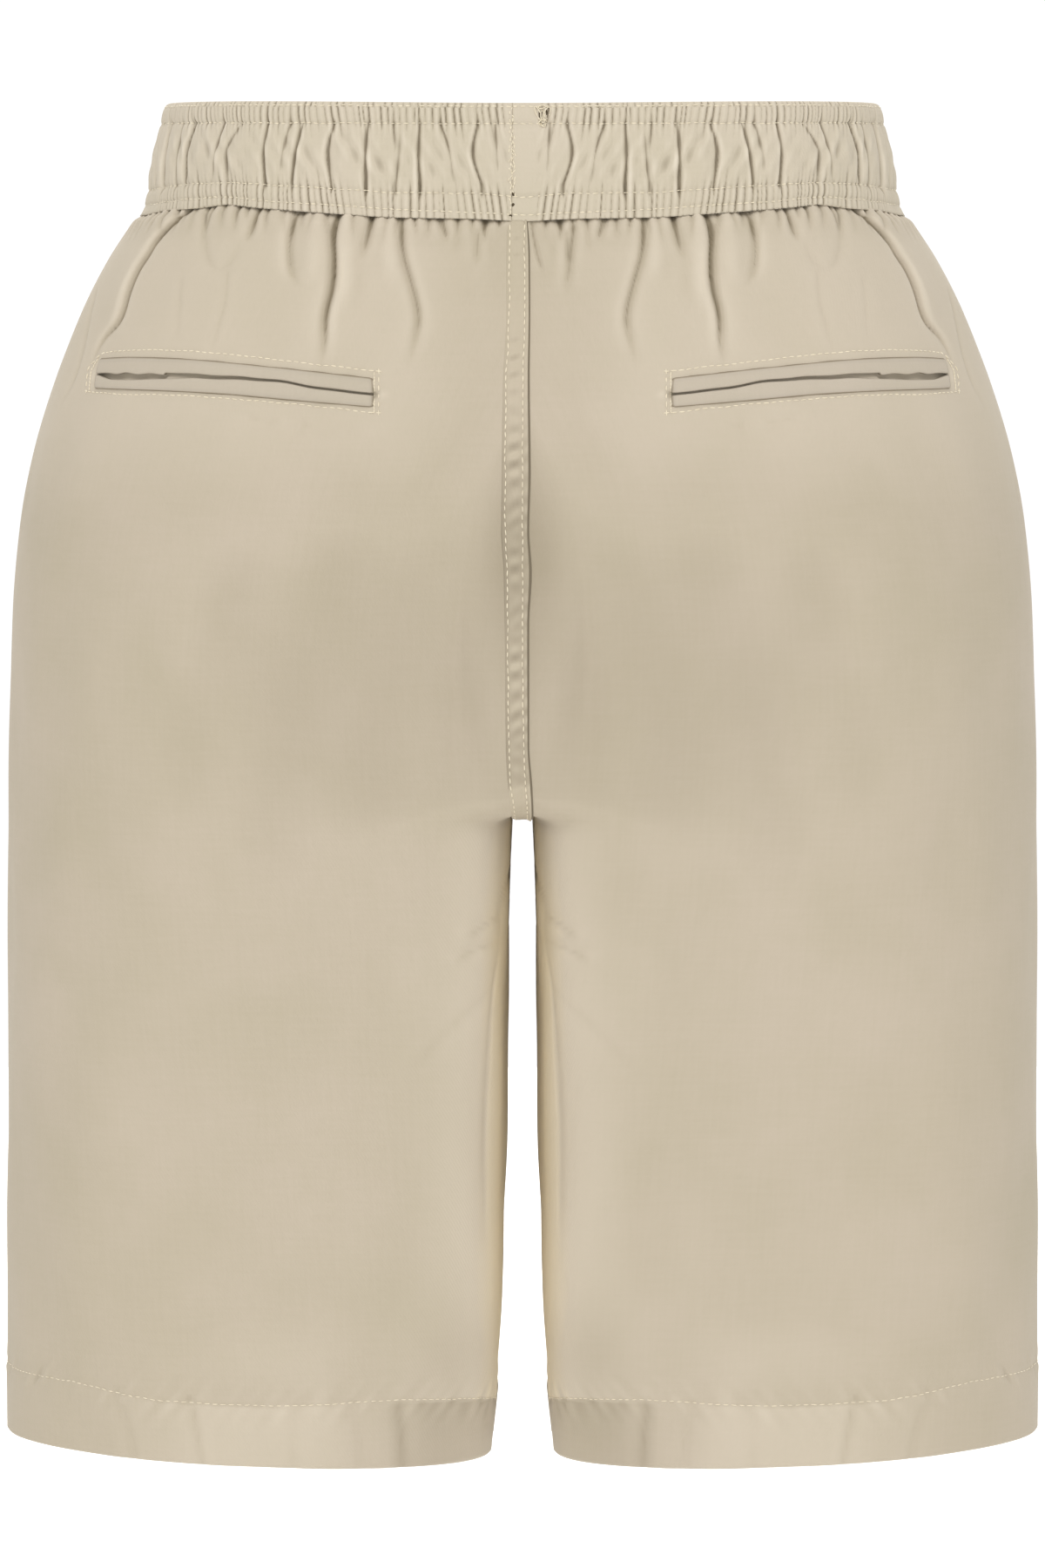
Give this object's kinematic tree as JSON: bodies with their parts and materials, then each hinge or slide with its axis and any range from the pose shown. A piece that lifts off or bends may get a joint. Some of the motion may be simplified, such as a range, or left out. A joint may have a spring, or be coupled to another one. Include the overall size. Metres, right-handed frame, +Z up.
{
  "type": "bermuda shorts",
  "caption": "Pull-on cotton bermuda shorts with a gathered elastic waistband, welt back pockets, a felled seat seam and turned hems, in worn hollow form.",
  "frame": {"origin": "middle of the waistband's channel, on the axis of the body", "axes": "+Z up along the body, +Y towards the front of the garment, +X towards the wearer's right"},
  "size_m": [0.4092, 0.234, 0.532],
  "materials": {
    "waistband twill": "gathered cotton twill, matt, beige",
    "leg panel twill": "cotton twill, matt, beige",
    "pocket welt twill": "cotton twill, matt, beige",
    "felled seam twill": "doubled cotton twill, matt, beige"
  },
  "bodies": {
    "root": {"waistband_left": "waistband twill", "back_panel_left": "leg panel twill", "front_panel_left": "leg panel twill", "pocket_welt_upper_left": "pocket welt twill", "pocket_welt_lower_left": "pocket welt twill", "waistband_right": "waistband twill", "back_panel_right": "leg panel twill", "front_panel_right": "leg panel twill", "pocket_welt_upper_right": "pocket welt twill", "pocket_welt_lower_right": "pocket welt twill", "rise_seam": "felled seam twill"}
  },
  "joints": []
}
